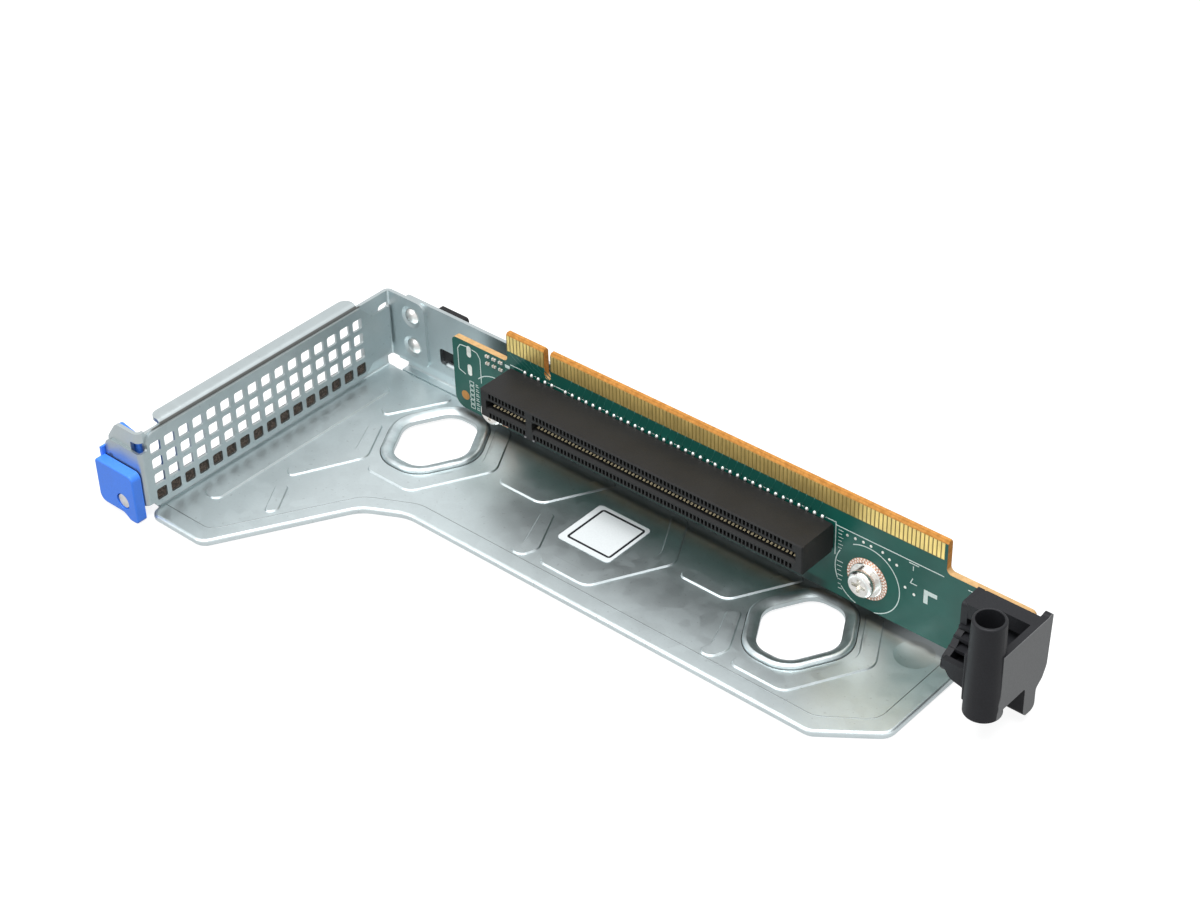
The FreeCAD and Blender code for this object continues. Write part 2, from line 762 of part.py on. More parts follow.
def contacts(side, outer):
    out = []
    for number, x in enumerate(contact_places(), start=1):
        if (number % 2 == 0) == outer:
            out.append(contact(x, side, outer))
    return out


def board_screws():
    out = []
    for x, z in screws:
        seat = -pad_thick
        shank = rod_y(x, z, shank_radius, seat - 0.1, wall_back)
        head = rod_y(x, z, head_radius, seat - head_height, seat)
        head = head.makeFillet(0.9, edges_where(head, lambda b: near(b.YMax, seat - head_height)))
        half = recess_width / 2
        arm = recess_span / 2
        top = seat - head_height - 0.1
        cross = [box(x - arm, x + arm, top, top + recess_depth, z - half, z + half),
                 box(x - half, x + half, top, top + recess_depth, z - arm, z + arm)]
        flange = rod_y(x, z, flange_radius, seat - flange_height, seat)
        flange = flange.makeFillet(0.25, edges_where(flange, lambda b: near(b.YMax, seat - flange_height)))
        out.append(join([shank, flange, head]).cut(cross[0].fuse(cross[1])))
    return out


def board_standoffs():
    out = []
    for x, z in screws:
        post = rod_y(x, z, standoff_radius, board_thick, wall_front)
        stud = rod_y(x, z, stud_radius, wall_front, wall_back)
        out.append(post.fuse(stud).cut(rod_y(x, z, thread_radius, 0, wall_back + 1)).removeSplitter())
    return out


def screw_pads():
    out = []
    for x, z in screws:
        pad = rod_y(x, z, screw_pad_radius, -pad_thick, 0.0)
        room = box(board_left, board_right, -1, 0, board_bottom + pad_margin, shoulder)
        out.append(pad.cut(rod_y(x, z, screw_hole, -1, 1)).common(room))
    return out


def guide_holder():
    outer = side_left + side_thick
    rear = slab("xz", [(holder_left, holder_low, 1.0), (outer, holder_low, 0), (outer, holder_top, 0),
                       (holder_left + 1.6, holder_top, 1.2), (holder_left, -1.0, 2.0)], -holder_wall, 0.0)
    block = slab("xy", [(holder_left + 1.6, 0.0, 0.8), (side_left, 0.0, 0), (side_left, block_front, 0),
                        (holder_left + 7.0, block_front, 1.0), (holder_left + 6.0, flank_front, 0.8),
                        (holder_left + 0.6, flank_front, 0.8)], block_low, holder_top)
    flank = slab("yz", [(0.0, holder_top, 0), (flank_front, holder_top - 0.2, 0.8),
                        (flank_front - 0.1, -1.2, 0),
                        (flank_step, -2.0, 0.6), (flank_step - 1.7, -3.8, 1.0), (skirt_front + 1.0, -5.0, 1.0),
                        (skirt_front + 0.4, -7.8, 1.5), (skirt_front + 2.6, holder_low, 1.0),
                        (0.0, holder_low, 0)], holder_left, holder_left + holder_wall)
    side = slab("yz", [(side_back, holder_top + lip_rise, 0.5), (side_back, holder_top - 0.8, 0),
                       (side_back - 0.7, holder_low + 1.9, 3.0), (side_back - 2.0, holder_low - 0.6, 1.5),
                       (leg_back, holder_low - 2.1, 1.5), (leg_back, leg_low, 1.4), (leg_front, leg_low, 1.4),
                       (leg_front, side_low, 0.8), (side_front, side_low, 0), (side_front, holder_top, 0),
                       (side_back - 1.6, holder_top, 0.8), (side_back - 1.0, holder_top + lip_rise, 0.2)],
                side_left, outer)
    leg = slab("yz", [(leg_back, leg_high, 0), (leg_back, leg_low, 1.4), (leg_front, leg_low, 1.4),
                      (leg_front, leg_high, 0)], outer - leg_width, outer)
    drop = post_top - post_low
    post = Part.makeCone(post_radius + post_draft, post_radius, drop, V(post_x, post_y, post_low), V(0, 0, 1))
    post = post.makeFillet(0.4, edges_where(post, lambda b: near(b.ZMin, post_top)))
    skirt = slab("xz", [(holder_left, skirt_top, 0.5), (post_x, skirt_top, 0), (post_x, post_low + 0.4, 0),
                        (post_x - 4.6, post_low + 0.4, 2.0), (holder_left + 2.6, side_low, 2.0)],
                 skirt_front, skirt_back)
    fins = []
    for i in range(3):
        top = fin_top - fin_pitch * i
        front = flank_front - 0.6 - fin_step * i
        fins.append(box(holder_left + 0.1 - 0.1 * i, post_x, front, -0.5, top - fin_thick, top))
    web = box(post_x - 0.9, post_x + 0.9, post_y + 2.0, -0.5, side_low, -2.0)
    rib = slab("xy", [(post_x + 0.6, post_y - 2.4, 0), (outer, side_front, 0), (outer, side_front + 1.5, 0),
                      (post_x + 0.6, post_y + 1.0, 0)], side_low, holder_top)
    pan_low = side_low + pan_rise
    pan = box(holder_left + holder_wall - 0.5, post_x, skirt_back - 0.2, -0.5, pan_low, pan_low + pan_thick)
    wing = slab("xy", [(post_x - post_radius - post_draft - wing_width, post_y, 0.5), (post_x, post_y, 0),
                       (post_x, skirt_back, 0), (post_x - post_radius - post_draft - wing_width, skirt_back, 0)],
                post_low, wing_top)
    body = join([rear, block, flank, side, leg, post, skirt, web, rib, pan, wing] + fins)
    return body.cut(rod_z(post_x, post_y, post_bore, post_top - post_bore_depth, post_top + 1))


def face_label():
    return slab("xy", rectangle(label_x - label_width / 2, label_x + label_width / 2, label_y - label_depth / 2,
                                label_y + label_depth / 2, label_round), floor_top, floor_top + label_thick)


def slotted_pads():
    out = []
    for k in (0.5, -0.5):
        z = slot_pad_z + k * slot_pad_pitch
        out.append(slab("xz", rectangle(slot_pad_x - slot_pad_wide / 2, slot_pad_x + slot_pad_wide / 2,
                                        z - slot_pad_long / 2, z + slot_pad_long / 2, slot_pad_wide * 0.49),
                        -pad_thick, 0.0))
    return out


def chip_capacitors():
    out = []
    for i in range(3):
        for j in range(2):
            x = chips_left + chip_pitch_x * i
            z = chips_low + chip_pitch_z * j
            out.append(box(x, x + chip_long, -chip_thick, 0.0, z, z + chip_wide))
    return out


def test_pads():
    return rod_y(spot_x, spot_z, spot_radius, -pad_thick, 0.0)


def wall_clip():
    outline = rectangle(clip_left, clip_right, clip_low, clip_top, 0.8)
    return slab("xz", outline, wall_back, wall_back + clip_thick)


os.makedirs("parts", exist_ok=True)
save("carrier_tray", carrier_tray())
save("corner_rivets", corner_rivets())
save("slot_filler", slot_filler())
save("filler_gasket", filler_gasket())
save("release_latch", release_latch())
save("latch_pin", latch_pin())
save("riser_board", riser_board())
save("edge_fingers_front", edge_fingers(-finger_thick, 0.0))
save("edge_fingers_back", edge_fingers(board_thick, board_thick + finger_thick))
save("slot_housing", slot_housing())
save("contacts_upper_outer", contacts(1, True))
save("contacts_upper_inner", contacts(1, False))
save("contacts_lower_outer", contacts(-1, True))
save("contacts_lower_inner", contacts(-1, False))
save("board_screws", board_screws())
save("board_standoffs", board_standoffs())
save("screw_pads", screw_pads())
save("guide_holder", guide_holder())
save("face_label", face_label())
save("slotted_pads", slotted_pads())
save("chip_capacitors", chip_capacitors())
save("test_pads", test_pads())
save("wall_clip", wall_clip())
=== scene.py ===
import math
import bmesh
import bpy
import numpy as np
from bpy.props import FloatProperty, FloatVectorProperty, IntProperty, PointerProperty
from mathutils import Matrix


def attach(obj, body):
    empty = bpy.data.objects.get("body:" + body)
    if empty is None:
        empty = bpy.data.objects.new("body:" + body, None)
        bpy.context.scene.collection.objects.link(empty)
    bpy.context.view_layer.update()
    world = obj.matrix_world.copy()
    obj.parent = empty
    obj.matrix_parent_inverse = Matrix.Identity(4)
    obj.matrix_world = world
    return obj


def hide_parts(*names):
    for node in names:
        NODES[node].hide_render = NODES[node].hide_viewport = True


bl_info = {
    "name": "Riser card looks",
    "version": (1, 0, 0),
    "blender": (4, 5, 0),
    "location": "View3D > Sidebar > Riser card",
    "description": "Finishes, board details and studio for a riser card on its sheet carrier",
    "category": "Object",
}

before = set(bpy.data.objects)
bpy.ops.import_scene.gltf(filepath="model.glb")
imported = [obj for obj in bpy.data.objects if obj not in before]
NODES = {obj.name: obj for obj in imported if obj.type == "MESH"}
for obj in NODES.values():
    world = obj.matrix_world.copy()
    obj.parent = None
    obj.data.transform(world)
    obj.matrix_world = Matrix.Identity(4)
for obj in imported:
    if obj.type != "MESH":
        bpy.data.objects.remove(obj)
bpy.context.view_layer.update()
MM = 0.001

# Places on the part, in millimetres
BOARD_FRONT = 0.0
BOARD_BACK = 1.57
FLOOR_TOP = -17.0
FIRST_SHORT = -1.5
FIRST_LONG = 1.5
SHORT_COUNT = 11
LONG_COUNT = 71
TONGUE_NOTCH = -3.7
BOSS_FRONT = -10.25
PIPS_ALONG = (-1.46, 0.96)
PIPS_LEVEL = -3.8
SOLDER_LEVEL = 3.72
SCREWS = [(-19.5, -9.9), (83.1, -6.7)]
SCREW_RINGS = (4.72, 4.22)
RING_LOW = -13.9
PRINTED_CIRCLE = 8.05
CHIPS_LEFT = -22.3
CHIPS_PITCH = 2
HOLDER_FACE = 125.12
BIG_HOLES = [(-29.1, -11.1), (75.0, -11.1)]
HOLE_CORNERS = [(9.9, 0.0), (4.0, 10.4), (-4.0, 10.4), (-9.9, 0.0), (-4.0, -10.4), (4.0, -10.4)]
# Painted shadow lines round the big holes' rims: side, rise and width of each line
RIM_SHADOW_PROFILES = ((-3.0, 0.0, 0.3), (-0.45, 0.36, 0.16))
LABEL_CENTRE = (23.5, -12.6)
LABEL_TOP = 0.1
BORDER_HALF = 6.2
PAPER_LEVEL = -18.85

# Edges of the painted shade and shadow on the carrier and the board, and of the bare laminate on the tongue
FOLD_SPAN = (-33.0, 122.0)
FOLD_NEAR = -0.6
FOLD_TOP = -14.0
WALL_MIDDLE = 7.2
SIDES_LOW = -14.5
SEAT_ACROSS = (-59.95, -59.2)
SEAT_ALONG = (-66.0, -3.0)
SEAT_LOW = 2.5
SLOT_SPAN = (-17.5, 72.5)
SHADED_TOP = -12.4
TONGUE_SPAN = (-16.6, 100.6)
LACQUER_TOP = 7.35

# Plated hole's cross-section: (radius, rise) from its outer foot to the inside of its bore
HOLE_PROFILE = [(0.34, 0.0), (0.32, 0.05), (0.2, 0.06), (0.12, 0.02)]

# Lamps, in metres: name, place, width and share of the key lamp's power
LAMP_AIM = (0.02, -0.02, 0.0)
LAMPS = (("key_lamp", (0.15, -0.25, 1.05), 0.8, 1.0),
         ("front_lamp", (-0.35, -0.85, 0.6), 0.6, 0.2),
         ("side_lamp", (0.95, -0.10, 0.35), 0.5, 0.04))

# The photograph's camera: its directions and eye in the part's frame, its focal length in pixels
VIEW_RIGHT = (0.75387223, 0.65653815, -0.02518549)
VIEW_DOWN = (0.37286926, -0.45908116, -0.80635786)
VIEW_AHEAD = (-0.54096689, 0.59849991, -0.59089143)
VIEW_EYE = (0.31002980, -0.33076811, 0.31910388)
FOCAL_PIXELS = 2524.28
PHOTO_PIXELS = 1200
SENSOR_WIDTH = 36.0


# Surfaces

def grid_faces(rows, columns, start=0, wrap_rows=False, wrap_columns=False):
    """Quads of a rows by columns grid of points: each joins a point with its next ones both ways."""
    row = np.arange(rows if wrap_rows else rows - 1)
    column = np.arange(columns if wrap_columns else columns - 1)
    a, b = np.meshgrid(row, column, indexing="ij")
    a, b = a.ravel(), b.ravel()
    c, d = (a + 1) % rows, (b + 1) % columns
    return start + np.stack([a * columns + b, c * columns + b, c * columns + d, a * columns + d], 1)


class Shell:
    """Closed surfaces gathered into one mesh."""

    def __init__(self):
        self.points = []
        self.faces = []
        self.total = 0

    def add(self, grid, wrap_rows=False, wrap_columns=True, caps=True):
        """Adds a grid of points as quads, with its first and last rows closed by a flat cap each."""
        rows, columns = grid.shape[:2]
        start = self.total
        self.points.append(grid.reshape(-1, 3))
        self.faces += grid_faces(rows, columns, start, wrap_rows, wrap_columns).tolist()
        if caps and not wrap_rows:
            self.faces.append(list(range(start + columns - 1, start - 1, -1)))
            last = start + (rows - 1) * columns
            self.faces.append(list(range(last, last + columns)))
        self.total += rows * columns

    def build(self, name, material, body="carrier", smooth=True, replaces=()):
        """Writes the gathered surfaces, in millimetres, to a named object in metres."""
        mesh = bpy.data.meshes.new(name)
        mesh.from_pydata((np.concatenate(self.points) * MM).tolist(), [], self.faces)
        mesh.polygons.foreach_set("use_smooth", np.full(len(mesh.polygons), smooth))
        mesh.update()
        face_outwards(mesh)
        mesh.materials.append(material)
        piece = bpy.data.objects.new(name, mesh)
        bpy.context.scene.collection.objects.link(piece)
        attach(piece, body)
        if replaces:
            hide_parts(*replaces)
        return piece


def face_outwards(mesh):
    work = bmesh.new()
    work.from_mesh(mesh)
    bmesh.ops.recalc_face_normals(work, faces=work.faces)
    work.to_mesh(mesh)
    work.free()


def rounded(corners, steps=5):
    """Path through (u, v, radius) corners: each corner's two tangent points joined by an arc
    of its circle."""
    plan = np.array([c[:2] for c in corners], float)
    out = []
    for i, (u, v, r) in enumerate(corners):
        here = plan[i]
        if r <= 0:
            out.append(here[None])
            continue
        before = plan[i - 1] - here
        after = plan[(i + 1) % len(plan)] - here
        before /= np.linalg.norm(before)
        after /= np.linalg.norm(after)
        half = math.acos(np.clip(before @ after, -1, 1)) / 2
        middle = (before + after) / np.linalg.norm(before + after)
        centre = here + middle * r / math.sin(half)
        start = here + before * r / math.tan(half) - centre
        end = here + after * r / math.tan(half) - centre
        turn = np.linspace(0, 1, steps)[:, None]
        angle = math.acos(np.clip(start @ end / r ** 2, -1, 1))
        blend = (np.sin((1 - turn) * angle) * start + np.sin(turn * angle) * end) / math.sin(angle)
        out.append(centre + blend)
    return np.concatenate(out)


def circle_path(u, v, r, start=0.0, end=360.0, steps=48):
    """Points at equal angles on a circle about (u, v)."""
    turn = np.radians(np.linspace(start, end, steps))
    return np.stack([u + r * np.cos(turn), v + r * np.sin(turn)], 1)


def carried(path, profile, closed=False):
    """A profile of (side, rise) points carried along a flat path: each path point plus the
    mitred sideways direction times side, with rise kept apart as the third coordinate."""
    path = np.asarray(path, float)
    if closed:
        ahead = np.roll(path, -1, 0) - path
        behind = path - np.roll(path, 1, 0)
    else:
        ahead = np.diff(path, axis=0, append=path[-1:] * 2 - path[-2:-1])
        behind = np.diff(path, axis=0, prepend=path[:1] * 2 - path[1:2])
    ahead /= np.linalg.norm(ahead, axis=1)[:, None]
    behind /= np.linalg.norm(behind, axis=1)[:, None]
    along = ahead + behind
    along /= np.linalg.norm(along, axis=1)[:, None]
    mitre = 1 / np.clip(np.sum(along * ahead, 1), 0.5, 1)
    side = np.stack([-along[:, 1], along[:, 0]], 1) * mitre[:, None]
    profile = np.asarray(profile, float)
    flat = path[:, None] + side[:, None] * profile[None, :, :1]
    rise = np.broadcast_to(profile[None, :, 1:], flat.shape[:2] + (1,))
    return np.concatenate([flat, rise], 2)


def strip(width, height, foot=0.0):
    """Low flat-topped cross-section, narrower at its top."""
    w = width / 2
    return [(-w, foot), (-w * 0.8, height), (w * 0.8, height), (w, foot)]


def on_board(grid, face=BOARD_FRONT):
    """Plan (u, v, rise) points stood on the board: u along it, v up it, rise away from its face."""
    sign = -1 if face <= BOARD_FRONT else 1
    return np.stack([grid[..., 0], face + sign * grid[..., 2], grid[..., 1]], -1)


def on_floor(grid):
    """Plan (u, v, rise) points laid on the top of the floor plate."""
    return np.stack([grid[..., 0], grid[..., 1], FLOOR_TOP + grid[..., 2]], -1)


def turned(u, v, profile, count=16, stretch=1.0):
    """A profile of (radius, rise) points turned about an upright axis at (u, v): radius times
    cosine and sine of the turn, the second stretched."""
    turn = np.linspace(0, 2 * math.pi, count, endpoint=False)
    profile = np.asarray(profile, float)
    radius, rise = profile[:, :1], profile[:, 1:]
    grid = [u + radius * np.cos(turn), v + stretch * radius * np.sin(turn), rise + 0 * turn]
    return np.stack(grid, -1)


def dome(radius, height, rings=4):
    """Quarter-ellipse profile from its foot to just beside its top."""
    lean = np.linspace(0, math.pi / 2 * 0.93, rings)
    return np.stack([radius * np.cos(lean), height * np.sin(lean)], 1)


# Finishes

class Link:
    """A socket in a material. Arithmetic on it adds Math nodes."""

    def __init__(self, finish, socket):
        self.finish = finish
        self.socket = socket

    def math(self, operation, *values):
        return self.finish.node("ShaderNodeMath", {"operation": operation}, values)

    def __add__(self, other):
        return self.math("ADD", self, other)

    def __sub__(self, other):
        return self.math("SUBTRACT", self, other)

    def __rsub__(self, other):
        return self.math("SUBTRACT", other, self)

    def __mul__(self, other):
        return self.math("MULTIPLY", self, other)

    def __truediv__(self, other):
        return self.math("DIVIDE", self, other)

    def __pow__(self, other):
        return self.math("POWER", self, other)

    __radd__ = __add__
    __rmul__ = __mul__

    def over(self, limit, soft):
        """0 below the limit and 1 above it, across a soft width."""
        return self.finish.node("ShaderNodeMapRange", {"interpolation_type": "SMOOTHSTEP"},
                                {0: self, 1: limit - soft / 2, 2: limit + soft / 2, 3: 0.0, 4: 1.0})

    def within(self, low, high, soft):
        return self.over(low, soft) * (1 - self.over(high, soft))


class Finish:
    """A procedural material built round one Principled shader."""

    def __init__(self, name):
        self.material = bpy.data.materials.new(name)
        self.material.use_nodes = True
        self.tree = self.material.node_tree
        self.tree.nodes.clear()
        place = self.node("ShaderNodeTexCoord", {}, {}, "Object")
        self.place = place
        self.x, self.y, self.z = [self.node("ShaderNodeSeparateXYZ", {}, {0: place}, axis) / MM
                                  for axis in range(3)]

    def node(self, kind, settings, inputs, output=0):
        """Makes a node, sets its settings, then its inputs by number or name, and returns an output."""
        made = self.tree.nodes.new(kind)
        for key, value in settings.items():
            if key == "stops":
                self.set_stops(made.color_ramp, value)
            else:
                setattr(made, key, value)
        pairs = inputs.items() if isinstance(inputs, dict) else enumerate(inputs)
        for key, value in pairs:
            if isinstance(value, Link):
                self.tree.links.new(value.socket, made.inputs[key])
            elif value is not None:
                made.inputs[key].default_value = value
        return Link(self, made.outputs[output]) if len(made.outputs) else None

    @staticmethod
    def set_stops(ramp, stops):
        while len(ramp.elements) < len(stops):
            ramp.elements.new(0.5)
        for element, (position, colour) in zip(ramp.elements, stops):
            element.position = position
            element.color = (*colour, 1)

    def noise(self, size_mm, detail=3.0, rough=0.5, warp=0.0):
        """Cloudy pattern whose blotches are about size_mm across."""
        return self.node("ShaderNodeTexNoise", {}, {"Vector": self.place, "Scale": 1000 / size_mm,
                                                    "Detail": detail, "Roughness": rough, "Distortion": warp})

    def cells(self, size_mm):
        """Distance pattern of cells about size_mm across."""
        return self.node("ShaderNodeTexVoronoi", {}, {"Vector": self.place, "Scale": 1000 / size_mm})

    def grains(self, size_mm):
        """Flat random value for each cell about size_mm across."""
        colour = self.node("ShaderNodeTexVoronoi", {},
                           {"Vector": self.place, "Scale": 1000 / size_mm}, "Color")
        return self.node("ShaderNodeSeparateColor", {}, {0: colour}, 0)

    def mix(self, mask, first, second):
        """First colour where the mask is 0, second where it is 1."""
        a = (*first, 1) if isinstance(first, tuple) else first
        b = (*second, 1) if isinstance(second, tuple) else second
        return self.node("ShaderNodeMix", {"data_type": "RGBA"}, {0: mask, 6: a, 7: b}, 2)

    def bump(self, height, depth_mm, strength=1.0):
        return self.node("ShaderNodeBump", {},
                         {"Height": height, "Distance": depth_mm * MM, "Strength": strength})

    def finished(self, colour, roughness, metallic=0.0, normal=None, **constants):
        """Feeds the Principled shader and the output, and returns the material."""
        base = (*colour, 1) if isinstance(colour, tuple) else colour
        inputs = {"Base Color": base, "Roughness": roughness, "Metallic": metallic, "Normal": normal}
        inputs.update({key.replace("_", " "): value for key, value in constants.items()})
        shader = self.node("ShaderNodeBsdfPrincipled", {}, inputs)
        self.node("ShaderNodeOutputMaterial", {}, {"Surface": shader})
        return self.material


def shade(colour, factor):
    return tuple(min(1.0, c * factor) for c in colour)


def galvanised(name, colour, carrier=False):
    """Zinc-coated sheet: faint cloudy patches, small crystals, fine scratches and soft gloss."""
    f = Finish(name)
    cloud = f.noise(26, 4, 0.55, 0.6)
    crystal = f.grains(2.6)
    fine = f.noise(0.7, 2)
    tone = cloud * 0.62 + crystal * 0.13 + fine * 0.25
    base = f.mix(tone.over(0.5, 0.5), shade(colour, 0.95), shade(colour, 1.05))
    stretched = f.node("ShaderNodeMapping", {}, {"Vector": f.place, "Scale": (0.06, 1.0, 1.0)})
    drawn = f.node("ShaderNodeTexNoise", {}, {"Vector": stretched, "Scale": 1700.0, "Detail": 2.0})
    specks = f.noise(0.9, 1).over(0.73, 0.03) * 0.3
    base = f.mix(specks, base, shade(colour, 0.55))
    # On the carrier only: scuffs round the big holes, and painted shade and shadow.
    if carrier:
        base = carrier_wear_and_painted_shade(f, base, colour)
    rough = 0.32 + cloud * 0.04 + crystal * 0.04 + drawn * 0.06
    relief = crystal * 0.35 + drawn * 0.35 + f.noise(1.5, 2) * 0.6
    return f.finished(base, rough, 1.0, f.bump(relief, 0.007, 0.6))


def carrier_wear_and_painted_shade(f, base, colour):
    """The carrier's wear and painted shade: scuffs round its big holes, painted shade on the slopes of its
    ribs and rims, a painted shadow in the bend at the foot of its wall, painted shade on its upright sides
    and a painted shadow under its flange."""
    for x, y in BIG_HOLES:
        far = ((f.x - x) ** 2 + (f.y - y) ** 2) ** 0.5
        scuff = far.within(8.6, 13.6, 0.5) * f.z.over(FLOOR_TOP + 0.12, 0.1)
        base = f.mix(scuff * f.noise(3.2, 3).over(0.5, 0.4) * 0.5, base, shade(colour, 0.62))
    # Painted shade on the slopes of the ribs and rims.
    rib_slope_shade = f.z.within(FLOOR_TOP + 0.05, FLOOR_TOP + 0.28, 0.06)
    base = f.mix(rib_slope_shade * 0.42, base, shade(colour, 0.45))
    # Painted shadow in the bend at the foot of the wall, under the board.
    inner = f.y.over(FOLD_NEAR, 1.6) * (1 - f.y.over(WALL_MIDDLE, 0.3))
    foot = f.z.over(FLOOR_TOP - 0.3, 0.3) * (1 - f.z.over(FOLD_TOP, 0.8))
    fold_shadow = inner * foot * f.x.within(*FOLD_SPAN, 2.0)
    base = f.mix(fold_shadow * 0.8, base, shade(colour, 0.12))
    # Painted shade on everything above SIDES_LOW: the upright wall, web and flange.
    base = f.mix(f.z.over(SIDES_LOW, 1.0) * 0.5, base, shade(colour, 0.62))
    # Painted shadow under the flange, on the web just above the filler's top edge.
    seat_shadow = f.x.within(*SEAT_ACROSS, 0.1) * f.y.within(*SEAT_ALONG, 1.0) * f.z.over(SEAT_LOW, 0.3)
    return f.mix(seat_shadow * 0.75, base, (0.05, 0.04, 0.03))


def bright_zinc(name, colour, roughness=0.24):
    """Plated steel of screws, rivets and pins: bright, with faint turning marks."""
    f = Finish(name)
    wear = f.noise(1.4, 3, 0.6)
    base = f.mix(wear.over(0.5, 0.5), shade(colour, 0.82), shade(colour, 1.08))
    return f.finished(base, roughness + wear * 0.12, 1.0, f.bump(f.noise(0.35, 2), 0.008, 0.6))


def board_mask(name, colour):
    """Green lacquer over woven laminate, with bare tan laminate where the board was cut through, and a
    painted shadow along its foot under the slot.
    """
    f = Finish(name)
    weave = (f.node("ShaderNodeMath", {"operation": "SINE"}, [f.x * 9.0])
             * f.node("ShaderNodeMath", {"operation": "SINE"}, [f.z * 9.0]))
    cloud = f.noise(9, 3)
    green = f.mix(cloud.over(0.5, 0.6), shade(colour, 0.86), shade(colour, 1.14))
    plane = (f.z - f.x * 0.06).within(-6.5, 3.2, 1.2) * f.noise(22, 1).over(0.5, 0.3)
    green = f.mix(plane * 0.3, green, shade(colour, 1.3))
    # Painted shadow on the board's foot under the slot.
    under = (1 - f.z.over(SHADED_TOP, 1.0)) * f.x.within(*SLOT_SPAN, 3.0)
    green = f.mix(under * 0.85, green, shade(colour, 0.2))
    bare = f.z.over(LACQUER_TOP, 0.1) * f.x.within(*TONGUE_SPAN, 0.1)
    green = f.mix(bare, green, (0.235, 0.165, 0.045))
    layer = f.node("ShaderNodeMath", {"operation": "SINE"}, [f.y * 21.0]) * 0.5 + 0.5
    cut = f.noise(0.8, 3)
    tan = f.mix(cut.over(0.5, 0.4), (0.46, 0.19, 0.030), (0.66, 0.30, 0.065))
    tan = f.mix(layer * 0.35, tan, (0.34, 0.13, 0.030))
    pale = f.mix(cut.over(0.5, 0.5), (0.52, 0.31, 0.13), (0.64, 0.41, 0.19))
    tan = f.mix(f.z.over(5.4, 0.8), pale, tan)
    inside = f.y.within(0.02, BOARD_BACK - 0.02, 0.02)
    edge = f.mix(inside, green, tan)
    rough = 0.3 + inside * 0.38 + cloud * 0.06
    relief = weave * 0.12 + f.noise(0.5, 2) * 0.3
    return f.finished(edge, rough, 0.0, f.bump(relief, 0.01, 0.5), Specular_IOR_Level=0.3)


def gold_plate(name, colour):
    """Gold over nickel: warm, slightly cloudy, with wiping marks across the fingers."""
    f = Finish(name)
    cloud = f.noise(5, 3)
    wipe = f.node("ShaderNodeTexNoise", {}, {
        "Vector": f.node("ShaderNodeMapping", {}, {"Vector": f.place, "Scale": (1.0, 1.0, 0.08)}),
        "Scale": 4200.0, "Detail": 2.0})
    base = f.mix((cloud * 0.6 + wipe * 0.4).over(0.5, 0.5), shade(colour, 0.78), shade(colour, 1.12))
    return f.finished(base, 0.30 + wipe * 0.16, 0.85, f.bump(wipe, 0.006, 0.5))


def spring_metal(name, colour):
    """Contact springs: gold where they meet the card, made paler and less metallic there as a painted
    highlight, and near black over the rest of the arm as painted shade in the comb slots.
    """
    f = Finish(name)
    tip = f.z.within(-1.1, -0.2, 0.15) * f.y.within(-9.5, -8.8, 0.1)
    haze = f.noise(0.6, 2)
    # Near black away from the tips: painted shade over the arms in the comb slots.
    base = f.mix(tip, (0.012, 0.011, 0.010), colour)
    return f.finished(f.mix(haze * 0.3, base, (0.02, 0.018, 0.015)), 0.34 + haze * 0.1,
                      0.8 - tip * 0.7, f.bump(haze, 0.01, 0.5))


def moulded(name, colour, roughness=0.5, grain_mm=0.35, depth=0.02, spread=0.12, sheen=0.0, paler_from=None,
            gloss=0.2):
    """Moulded plastic: fine grain from spark erosion, slight unevenness of colour and gloss.
    The face beyond a given place along x has a coarser, paler grain."""
    f = Finish(name)
    cloud = f.noise(7, 3)
    grain = f.noise(grain_mm, 2)
    mixed = cloud * 0.5 + grain * 0.5
    base = f.mix(mixed.over(0.5, 0.4), shade(colour, 1 - spread), shade(colour, 1 + spread))
    rough = roughness + (cloud - 0.5) * 0.14
    if paler_from is not None:
        # Paler and rougher along x beyond the given place: the guide holder's outer side face.
        outer = f.x.over(paler_from, 0.06)
        base = f.mix(outer * (0.75 + grain * 0.25), base, (0.24, 0.243, 0.245))
        rough = rough + outer * 0.2
    return f.finished(base, rough, 0.0, f.bump(grain, depth, 0.55),
                      Specular_IOR_Level=gloss, Coat_Weight=sheen, Coat_Roughness=0.25)


def dark_pitted_strip(name, colour):
    """Dark, dull, pitted strip, its darkness painted shade behind the filler's lowest holes."""
    f = Finish(name)
    pits = f.cells(0.5)
    base = f.mix(pits.over(0.45, 0.5), shade(colour, 1.5), shade(colour, 0.5))
    return f.finished(base, 0.9, 0.0, f.bump(pits, 0.08))


def paper(name, colour):
    """Smooth coated label stock with a faint tooth."""
    f = Finish(name)
    tooth = f.noise(0.4, 3)
    base = f.mix(tooth.over(0.5, 0.6), shade(colour, 0.96), shade(colour, 1.02))
    return f.finished(base, 0.42 + tooth * 0.1, 0.0, f.bump(tooth, 0.008, 0.5))


def solder(name, colour):
    """Tin: bright, slightly uneven, smoother on its crowns."""
    f = Finish(name)
    cloud = f.noise(0.9, 3)
    base = f.mix(cloud.over(0.5, 0.5), shade(colour, 0.85), shade(colour, 1.08))
    return f.finished(base, 0.26 + cloud * 0.2, 0.75, f.bump(cloud, 0.03, 0.7))


def ceramic(name, colour):
    """Chip parts: a fired body between two tinned ends."""
    f = Finish(name)
    lefts = [CHIPS_LEFT + CHIPS_PITCH * i for i in range(3)]
    bands = [f.x.within(left + 0.25, left + 0.75, 0.05) for left in lefts]
    body = bands[0] + bands[1] + bands[2]
    grain = f.noise(0.3, 2)
    base = f.mix(body, (0.72, 0.71, 0.68), colour)
    base = f.mix(grain.over(0.55, 0.4) * 0.25, base, shade(colour, 0.7))
    return f.finished(base, 0.38, 0.0, f.bump(grain, 0.01, 0.5))


